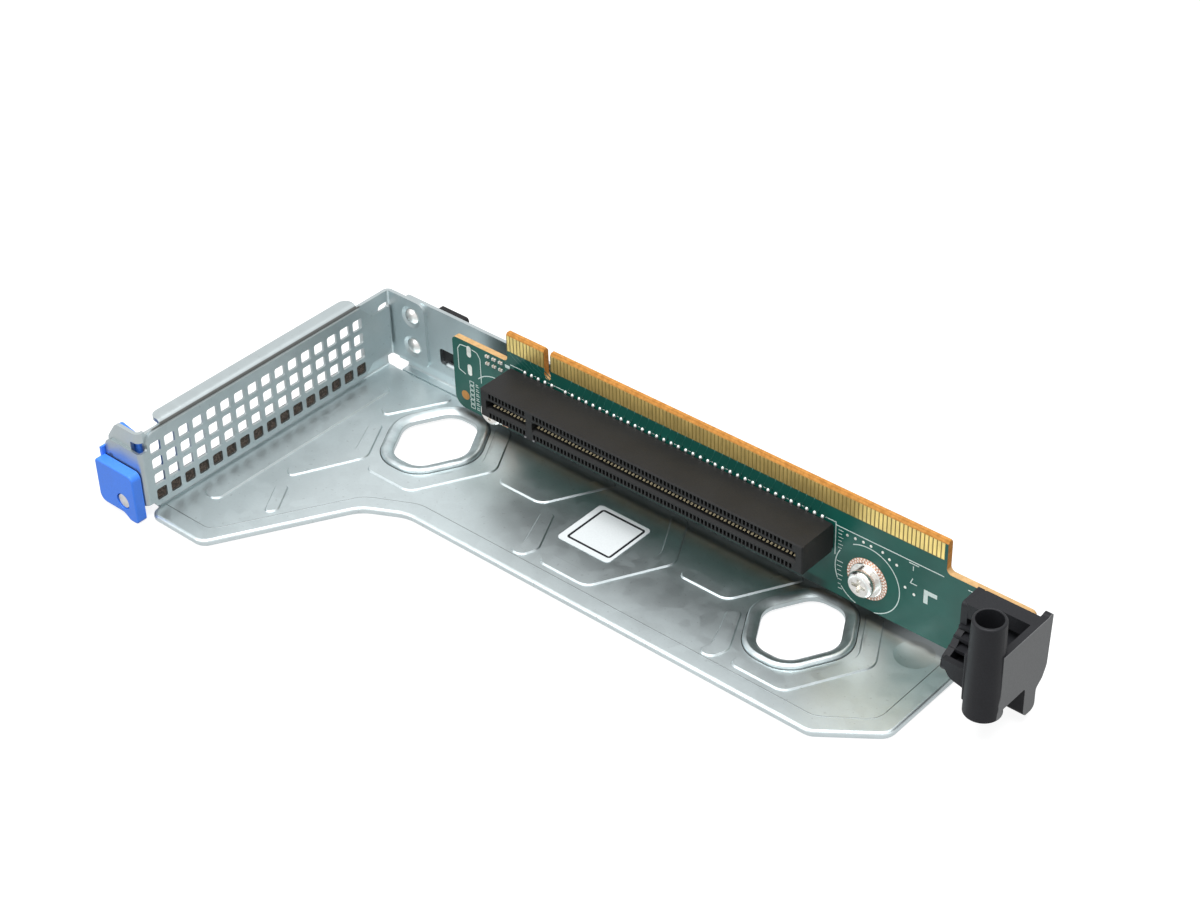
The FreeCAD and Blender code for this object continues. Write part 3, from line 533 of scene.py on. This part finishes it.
def ink(name, colour, roughness=0.5):
    """Printed lacquer, slightly patchy."""
    f = Finish(name)
    patch = f.noise(0.6, 3)
    base = f.mix(patch.over(0.45, 0.5), shade(colour, 0.86), colour)
    return f.finished(base, roughness, 0.0, f.bump(patch, 0.01, 0.5))


# Settings

def colour_property(name, text, default):
    return FloatVectorProperty(name=name, description=text, subtype="COLOR", size=3, min=0, max=1,
                               default=default)


def length_property(name, text, default_mm):
    return FloatProperty(name=name, description=text, subtype="DISTANCE", unit="LENGTH", min=0,
                         default=default_mm * MM, precision=5)


class RiserColours(bpy.types.PropertyGroup):
    steel: colour_property("Steel", "Colour of the zinc-coated sheet", (0.62, 0.69, 0.705))
    bright: colour_property("Bright steel", "Colour of screws, rivets and the pin", (0.80, 0.79, 0.77))
    lacquer: colour_property("Board", "Colour of the board's lacquer", (0.006, 0.082, 0.063))
    gold: colour_property("Gold", "Colour of the fingers and contacts", (0.88, 0.66, 0.24))
    charcoal: colour_property("Slot housing", "Colour of the slot housing", (0.0155, 0.0152, 0.0152))
    holder: colour_property("Guide holder", "Colour of the guide holder", (0.016, 0.0165, 0.019))
    latch: colour_property("Latch", "Colour of the release latch", (0.055, 0.235, 0.92))
    silk: colour_property("Marks", "Colour of the printed board marks", (0.62, 0.72, 0.68))
    paper: colour_property("Label", "Colour of the label stock", (0.70, 0.735, 0.745))


class RiserSizes(bpy.types.PropertyGroup):
    mark_width: length_property("Mark width", "Width of the printed board lines", 0.24)
    mark_height: length_property("Mark height", "Thickness of the printed lacquer", 0.02)
    trace_width: length_property("Trace width", "Width of the copper tracks under the lacquer", 0.3)
    solder_radius: length_property("Solder radius", "Half width of the solder at a contact's foot", 0.43)
    solder_height: length_property("Solder height", "Height of the solder at a contact's foot", 0.42)
    border_width: length_property("Border width", "Width of the label's printed border", 0.62)
    hem_width: length_property("Hem width", "Distance of the hem's line from the free edge", 4.3)
    key_power: FloatProperty(name="Key lamp", description="Power of the large lamp", default=14.0, min=0,
                             unit="POWER")
    via_count: IntProperty(name="Ring holes", description="Plated holes round each screw", default=36,
                           min=8, max=80)


def colour(name):
    return tuple(getattr(bpy.context.scene.riser_colours, name))


def size(name):
    return getattr(bpy.context.scene.riser_sizes, name) / MM


def dress(material, *names):
    for name in names:
        piece = NODES[name]
        if not piece.material_slots:
            piece.data.materials.append(material)
        for place in piece.material_slots:
            place.material = material


def contact_places():
    """Places of the slot's contacts along it, and whether each is one of the outer row."""
    short = [FIRST_SHORT - i for i in range(SHORT_COUNT)]
    places = sorted(short + [FIRST_LONG + i for i in range(LONG_COUNT)])
    return [(x, (i + 1) % 2 == 0) for i, x in enumerate(places)]


# Pieces

class RISER_OT_sheet_metal(bpy.types.Operator):
    """Finish the carrier, the slot filler and its strip, each with painted shade,
    and draw the line of the hem and painted shadow lines round the big holes
    """
    bl_idname = "riser.sheet_metal"
    bl_label = "Sheet metal"

    def execute(self, context):
        dress(galvanised("galvanised_sheet", colour("steel"), True), "carrier_tray")
        # The filler's sheet is the carrier's steel darkened to 0.72: painted shade on its upright face.
        dress(galvanised("galvanised_filler_sheet", shade(colour("steel"), 0.72)), "slot_filler")
        # A dark strip behind the filler's lowest holes: painted shade there.
        dress(dark_pitted_strip("foam_strip", (0.075, 0.055, 0.042)), "filler_gasket")
        k = size("hem_width")
        corners = [(-58.6, -70.2 + k, 0.0), (-42.6 - 0.45 * k, -70.2 + k, 3.5),
                   (-24.6 - 0.55 * k, -39.6 + 0.75 * k, 9.0), (-15.1, -34.7 + k, 9.0),
                   (94.8 - 0.4 * k, -34.7 + k, 5.0), (107.6 - k, -25.2 + 0.45 * k, 5.0),
                   (107.6 - k, 3.4, 0.0)]
        path = rounded(corners, 7)
        lines = Shell()
        lines.add(on_floor(carried(path, [(-0.13, -0.03), (-0.07, 0.03), (0.07, 0.03), (0.13, -0.03)])))
        lines.build("hem_line", galvanised("hem_shadow", shade(colour("steel"), 0.42)))
        # Painted shadow lines round the rims of the big holes.
        shadow_lines = Shell()
        for x, y in BIG_HOLES:
            corners = [(x + u, y + v, 5.0) for u, v in HOLE_CORNERS]
            for side, rise, width in RIM_SHADOW_PROFILES:
                profile = [(side - width / 2, rise - 0.04), (side - width / 4, rise + 0.03),
                           (side + width / 4, rise + 0.03), (side + width / 2, rise - 0.04)]
                shadow_lines.add(on_floor(carried(rounded(corners, 9), profile, True)), wrap_rows=True)
        shadow_lines.build("rim_seams", galvanised("rim_shadow", shade(colour("steel"), 0.16)))
        return {"FINISHED"}


class RISER_OT_circuit_board(bpy.types.Operator):
    """Finish the board and its gold fingers, and add the tracks and plated holes under the lacquer"""
    bl_idname = "riser.circuit_board"
    bl_label = "Circuit board"

    def execute(self, context):
        dress(board_mask("board_lacquer", colour("lacquer")), "riser_board")
        dress(gold_plate("gold_fingers", colour("gold")), "edge_fingers_front", "edge_fingers_back")
        dress(gold_plate("bare_copper", (0.50, 0.235, 0.065)), "test_pads")
        dress(solder("tinned_pads", (0.80, 0.78, 0.72)), "slotted_pads")
        dress(ceramic("chip_ceramic", (0.42, 0.34, 0.26)), "chip_capacitors")
        self.tracks()
        self.plated_holes()
        return {"FINISHED"}

    def tracks(self):
        """Two slanted runs from each contact's foot to its finger, on both faces."""
        tracks = Shell()
        profile = strip(size("trace_width"), 0.012, -0.01)
        spread = [x for x, _ in contact_places()]
        for face in (BOARD_FRONT, BOARD_BACK):
            for i, x in enumerate(spread[::2] if face == BOARD_FRONT else spread[1::2]):
                if x < 0:
                    finger = TONGUE_NOTCH - 1.5 - round(-x - 1.5)
                else:
                    finger = TONGUE_NOTCH + 1.5 + round(x - 1.5) + 4
                path = [(x, 4.0), (x, 4.9), (finger + 0.5, 6.8), (finger + 0.5, 7.45)]
                tracks.add(on_board(carried(path, profile), face))
        for x in np.arange(84.0, 112.0, 4.0):
            path = [(x - 5, -13.2), (x - 1.5, -11.6), (x + 4, -11.6), (x + 8, -13.0)]
            tracks.add(on_board(carried(path, profile), BOARD_BACK))
        tracks.build("board_tracks", ink("lacquered_copper", shade(colour("lacquer"), 1.15), 0.3))

    def plated_holes(self):
        """Small tinned rings at the places where tracks change sides."""
        places = [(77.8, 2.0), (79.8, 2.1), (81.8, 2.2), (83.7, 2.1), (86.6, 2.0), (88.3, 1.0), (90.1, 0.5),
                  (92.4, -4.0), (94.6, -4.8)]
        holes = Shell()
        for x, z in places:
            holes.add(on_board(turned(x, z, HOLE_PROFILE, 12)))
        back = [(x, 2.6 - 1.2 * (i % 3)) for i, x in enumerate(np.arange(-28.0, 118.0, 3.1))]
        for x, z in back:
            holes.add(on_board(turned(x, z, HOLE_PROFILE, 10), BOARD_BACK))
        holes.build("plated_holes", solder("tinned_holes", (0.82, 0.80, 0.74)))


class RISER_OT_board_marks(bpy.types.Operator):
    """Print the plain outlines, circles and corner marks on the board"""
    bl_idname = "riser.board_marks"
    bl_label = "Board marks"

    def execute(self, context):
        marks = Shell()
        thin = strip(size("mark_width"), size("mark_height"), -0.01)
        fine = strip(size("mark_width") * 0.7, size("mark_height"), -0.01)
        for path, profile in self.paths(thin, fine):
            marks.add(on_board(carried(path, profile)))
        for bar in self.bars():
            marks.add(on_board(carried(bar[0], strip(bar[1], size("mark_height"), -0.01))))
        marks.build("board_marks", ink("mark_print", colour("silk")), smooth=False)
        return {"FINISHED"}

    @staticmethod
    def bars():
        """Broad straight marks: the corner mark beside the holder and the pointer by the chips."""
        return [([(97.4, -5.6), (97.4, -2.2)], 1.1), ([(97.9, -2.75), (100.1, -2.75)], 1.1),
                ([(-16.6, 3.0), (-15.2, 3.0)], 0.9)]

    @staticmethod
    def paths(thin, fine):
        """Plan paths of the printed lines, each with its cross-section."""
        (lx, lz), (rx, rz) = SCREWS
        out = [
            (rounded([(-28.4, 3.1, 0), (-30.5, 2.9, 0.6), (-31.3, 1.6, 0.4), (-31.3, -4.0, 0.4),
                      (-29.2, -4.7, 0)]), thin),
            (rounded([(-26.9, 2.9, 0), (-25.3, 2.7, 0.8), (-24.4, 1.3, 0.6), (-24.4, -5.2, 0)]), thin),
            ([(-15.0, 3.95), (-11.2, 3.95)], thin),
            ([(-2.0, 3.95), (1.0, 3.95)], thin),
            ([(72.6, 3.95), (74.9, 3.95), (74.9, 3.3), (101.4, 3.3)], thin),
            ([(74.9, 3.1), (74.9, -4.3)], thin),
            (circle_path(lx, lz, PRINTED_CIRCLE, 36, 136, 30), thin),
            (circle_path(rx, rz, PRINTED_CIRCLE, -75, 118, 44), thin),
            (circle_path(rx, rz, PRINTED_CIRCLE, 150, 204, 14), thin),
            (circle_path(rx, rz, PRINTED_CIRCLE, 218, 251, 12), thin),
            ([(107.1, 2.9), (109.0, 2.9), (109.0, 1.4)], thin),
            ([(93.0, 2.75), (95.4, 2.75)], thin),
            ([(94.1, 2.2), (94.1, 1.1)], thin),
            ([(94.1, -0.9), (93.6, -2.2), (95.2, -2.2)], thin),
        ]
        for i in range(6):
            low = -13.4 + 1.28 * i
            out.append(([(-28.1, low), (-26.9, low), (-26.9, low + 0.95), (-28.1, low + 0.95),
                         (-28.1, low + 0.1)], fine))
            out.append(([(-26.3, low + 0.1), (-25.3, low + 0.1)], fine))
            out.append(([(-26.3, low + 0.6), (-25.5, low + 0.6)], fine))
        for i in range(6):
            out.append(([(75.6, 2.4 - 0.9 * i), (76.8 - 0.3 * (i % 2), 2.4 - 0.9 * i)], fine))
        for i in range(7):
            out.append(([(75.4 + 0.1 * i, -5.6 - 1.15 * i), (77.0 - 0.2 * (i % 3), -5.6 - 1.15 * i)], fine))
        for x, outer in contact_places():
            if outer and x % 5 < 2:
                out.append(([(x + 0.75, 3.98), (x + 1.3, 3.98)], fine))
        return out


class RISER_OT_card_slot(bpy.types.Operator):
    """Finish the slot's housing and contacts, and solder the contacts' feet"""
    bl_idname = "riser.card_slot"
    bl_label = "Card slot"

    def execute(self, context):
        dress(moulded("slot_plastic", colour("charcoal"), 0.5, 0.3, 0.03, 0.2), "slot_housing")
        # The contacts' colour is paler than the fingers' gold: partly gold, partly painted highlight on the
        # tips.
        dress(spring_metal("contact_gold", (1.0, 0.86, 0.56)), "contacts_upper_outer", "contacts_upper_inner",
              "contacts_lower_outer", "contacts_lower_inner")
        joints = Shell()
        radius, height = size("solder_radius"), size("solder_height")
        for x, outer in contact_places():
            if not outer:
                continue
            for side in (1, -1):
                joints.add(on_board(turned(x, side * SOLDER_LEVEL, dome(radius, height, 5), 12, 1.3)))
        joints.build("solder_joints", solder("solder_bright", (0.95, 0.94, 0.91)))
        # Two small pale domes on the key boss's front, far paler than the housing round them.
        pips = Shell()
        for x in PIPS_ALONG:
            pips.add(on_board(turned(x, PIPS_LEVEL, dome(0.3, 0.2, 4), 12), BOSS_FRONT))
        pips.build("key_pips", moulded("pip_plastic", (0.34, 0.34, 0.35), 0.4))
        return {"FINISHED"}


class RISER_OT_fasteners(bpy.types.Operator):
    """Finish the screws, stand-offs, rivets and pin, and ring the screws with plated holes"""
    bl_idname = "riser.fasteners"
    bl_label = "Fasteners"

    def execute(self, context):
        dress(bright_zinc("screw_zinc", (0.90, 0.885, 0.85), 0.14), "board_screws")
        dress(bright_zinc("standoff_zinc", colour("bright"), 0.3), "board_standoffs")
        dress(bright_zinc("rivet_zinc", shade(colour("bright"), 0.95), 0.26), "corner_rivets", "latch_pin")
        dress(gold_plate("pad_copper", (0.60, 0.33, 0.23)), "screw_pads")
        beads = Shell()
        turn = np.linspace(0, 2 * math.pi, int(bpy.context.scene.riser_sizes.via_count), endpoint=False)
        for x, z in SCREWS:
            for radius, start in zip(SCREW_RINGS, (0.0, math.pi / len(turn))):
                for a in turn + start:
                    u, v = x + radius * math.cos(a), z + radius * math.sin(a)
                    if v > RING_LOW:
                        bead = turned(u, v, [(0.25, 0.03), (0.22, 0.1), (0.1, 0.12), (0.05, 0.07)], 8)
                        beads.add(on_board(bead))
        beads.build("ring_holes", solder("ring_tin", (0.88, 0.82, 0.76)))
        return {"FINISHED"}


class RISER_OT_mouldings(bpy.types.Operator):
    """Finish the latch, the guide holder and the clip behind the wall"""
    bl_idname = "riser.mouldings"
    bl_label = "Mouldings"

    def execute(self, context):
        dress(moulded("latch_plastic", colour("latch"), 0.42, 0.4, 0.02, 0.06, sheen=0.1, gloss=0.4),
              "release_latch")
        dress(moulded("holder_plastic", colour("holder"), 0.46, 0.35, 0.03, 0.15, paler_from=HOLDER_FACE),
              "guide_holder")
        dress(moulded("clip_plastic", (0.012, 0.012, 0.013), 0.5), "wall_clip")
        return {"FINISHED"}


class RISER_OT_label(bpy.types.Operator):
    """Finish the label and print its border"""
    bl_idname = "riser.label"
    bl_label = "Label"

    def execute(self, context):
        dress(paper("label_stock", colour("paper")), "face_label")
        x, y = LABEL_CENTRE
        half = BORDER_HALF - size("border_width") / 2
        path = rounded([(x - half, y - half, 0.5), (x + half, y - half, 0.5),
                        (x + half, y + half, 0.5), (x - half, y + half, 0.5)], 5)
        border = Shell()
        lift = [(u, v + LABEL_TOP) for u, v in strip(size("border_width"), 0.02, -0.01)]
        border.add(on_floor(carried(path, lift, True)), wrap_rows=True)
        border.build("label_border", ink("border_print", (0.012, 0.013, 0.016), 0.4))
        return {"FINISHED"}


class RISER_OT_stage(bpy.types.Operator):
    """Set up the pale floor, the lamps, the sky and the camera"""
    bl_idname = "riser.stage"
    bl_label = "Stage"

    def execute(self, context):
        self.floor()
        self.sky()
        for name, place, width, share in LAMPS:
            self.lamp(name, place, width, context.scene.riser_sizes.key_power * share)
        self.camera()
        context.scene.view_settings.view_transform = "Standard"
        return {"FINISHED"}

    def floor(self):
        u, v = np.meshgrid(np.linspace(-3000, 3000, 5), np.linspace(-3000, 3000, 5), indexing="ij")
        points = np.stack([u, v, 0 * u + PAPER_LEVEL], -1).reshape(-1, 3)
        mesh = bpy.data.meshes.new("floor_sheet")
        mesh.from_pydata((points * MM).tolist(), [], grid_faces(5, 5).tolist())
        mesh.update()
        f = Finish("floor_paper")
        tooth = f.noise(30, 2)
        path = f.node("ShaderNodeLightPath", {}, {}, "Is Camera Ray")
        glossy = f.node("ShaderNodeLightPath", {}, {}, "Is Glossy Ray")
        through = f.node("ShaderNodeLightPath", {}, {}, "Is Transmission Ray")
        seen = path * 0.85 + (glossy + through) * 0.38
        base = f.mix(tooth, (0.29, 0.29, 0.29), (0.31, 0.31, 0.31))
        paint = f.node("ShaderNodeBsdfDiffuse", {}, {"Color": base})
        glow = f.node("ShaderNodeEmission", {}, {"Color": (1, 1, 1, 1), "Strength": seen})
        both = f.node("ShaderNodeAddShader", {}, [paint, glow])
        f.node("ShaderNodeOutputMaterial", {}, {"Surface": both})
        mesh.materials.append(f.material)
        floor = bpy.data.objects.new("floor_sheet", mesh)
        bpy.context.scene.collection.objects.link(floor)

    def sky(self):
        world = bpy.data.worlds.new("studio_sky")
        bpy.context.scene.world = world
        world.use_nodes = True
        tree = world.node_tree
        tree.nodes.clear()
        light_path = tree.nodes.new("ShaderNodeLightPath")
        near = tree.nodes.new("ShaderNodeBackground")
        near.inputs["Color"].default_value = (0.95, 0.98, 1.0, 1)
        near.inputs["Strength"].default_value = 0.42
        seen = tree.nodes.new("ShaderNodeBackground")
        seen.inputs["Color"].default_value = (1, 1, 1, 1)
        seen.inputs["Strength"].default_value = 1.0
        first = tree.nodes.new("ShaderNodeMath")
        first.operation = "MAXIMUM"
        second = tree.nodes.new("ShaderNodeMath")
        second.operation = "MAXIMUM"
        mix = tree.nodes.new("ShaderNodeMixShader")
        out = tree.nodes.new("ShaderNodeOutputWorld")
        link = tree.links.new
        link(light_path.outputs["Is Camera Ray"], first.inputs[0])
        link(light_path.outputs["Is Glossy Ray"], first.inputs[1])
        link(first.outputs[0], second.inputs[0])
        link(light_path.outputs["Is Transmission Ray"], second.inputs[1])
        link(second.outputs[0], mix.inputs[0])
        link(near.outputs[0], mix.inputs[1])
        link(seen.outputs[0], mix.inputs[2])
        link(mix.outputs[0], out.inputs["Surface"])

    def lamp(self, name, place, width, power):
        """Square lamp that faces the middle of the part."""
        data = bpy.data.lights.new(name, "AREA")
        data.shape = "SQUARE"
        data.size = width
        data.energy = power
        lamp = bpy.data.objects.new(name, data)
        away = np.array(place) - np.array(LAMP_AIM)
        away /= np.linalg.norm(away)
        right = np.cross((0, 0, 1), away)
        right /= np.linalg.norm(right)
        up = np.cross(away, right)
        turn = np.eye(4)
        turn[:3, 0], turn[:3, 1], turn[:3, 2], turn[:3, 3] = right, up, away, place
        lamp.matrix_world = Matrix(turn.tolist())
        bpy.context.scene.collection.objects.link(lamp)

    def camera(self):
        """Looks from the photograph's place."""
        data = bpy.data.cameras.new("photo_camera")
        data.sensor_width = SENSOR_WIDTH
        data.lens = FOCAL_PIXELS / PHOTO_PIXELS * SENSOR_WIDTH
        data.clip_start = 0.02
        data.clip_end = 20.0
        camera = bpy.data.objects.new("photo_camera", data)
        turn = np.eye(4)
        turn[:3, 0] = VIEW_RIGHT
        turn[:3, 1] = -np.array(VIEW_DOWN)
        turn[:3, 2] = -np.array(VIEW_AHEAD)
        turn[:3, 3] = VIEW_EYE
        camera.matrix_world = Matrix(turn.tolist())
        bpy.context.scene.collection.objects.link(camera)
        bpy.context.scene.camera = camera


class RISER_PT_sidebar(bpy.types.Panel):
    """Shows the colours and sizes, and a button for each piece"""
    bl_label = "Riser card"
    bl_idname = "RISER_PT_sidebar"
    bl_space_type = "VIEW_3D"
    bl_region_type = "UI"
    bl_category = "Riser card"

    def draw(self, context):
        for group in (context.scene.riser_colours, context.scene.riser_sizes):
            for key in group.bl_rna.properties.keys():
                if key not in ("rna_type", "name"):
                    self.layout.prop(group, key)
        for piece in PIECES:
            self.layout.operator(piece.bl_idname)


PIECES = (RISER_OT_sheet_metal, RISER_OT_circuit_board, RISER_OT_board_marks, RISER_OT_card_slot,
          RISER_OT_fasteners, RISER_OT_mouldings, RISER_OT_label, RISER_OT_stage)
CLASSES = (RiserColours, RiserSizes) + PIECES + (RISER_PT_sidebar,)


def register():
    for each in CLASSES:
        bpy.utils.register_class(each)
    bpy.types.Scene.riser_colours = PointerProperty(type=RiserColours)
    bpy.types.Scene.riser_sizes = PointerProperty(type=RiserSizes)


def unregister():
    del bpy.types.Scene.riser_sizes
    del bpy.types.Scene.riser_colours
    for each in reversed(CLASSES):
        bpy.utils.unregister_class(each)


def main():
    register()
    for piece in PIECES:
        getattr(bpy.ops.riser, piece.bl_idname.removeprefix("riser."))()


if __name__ == "__main__":
    main()
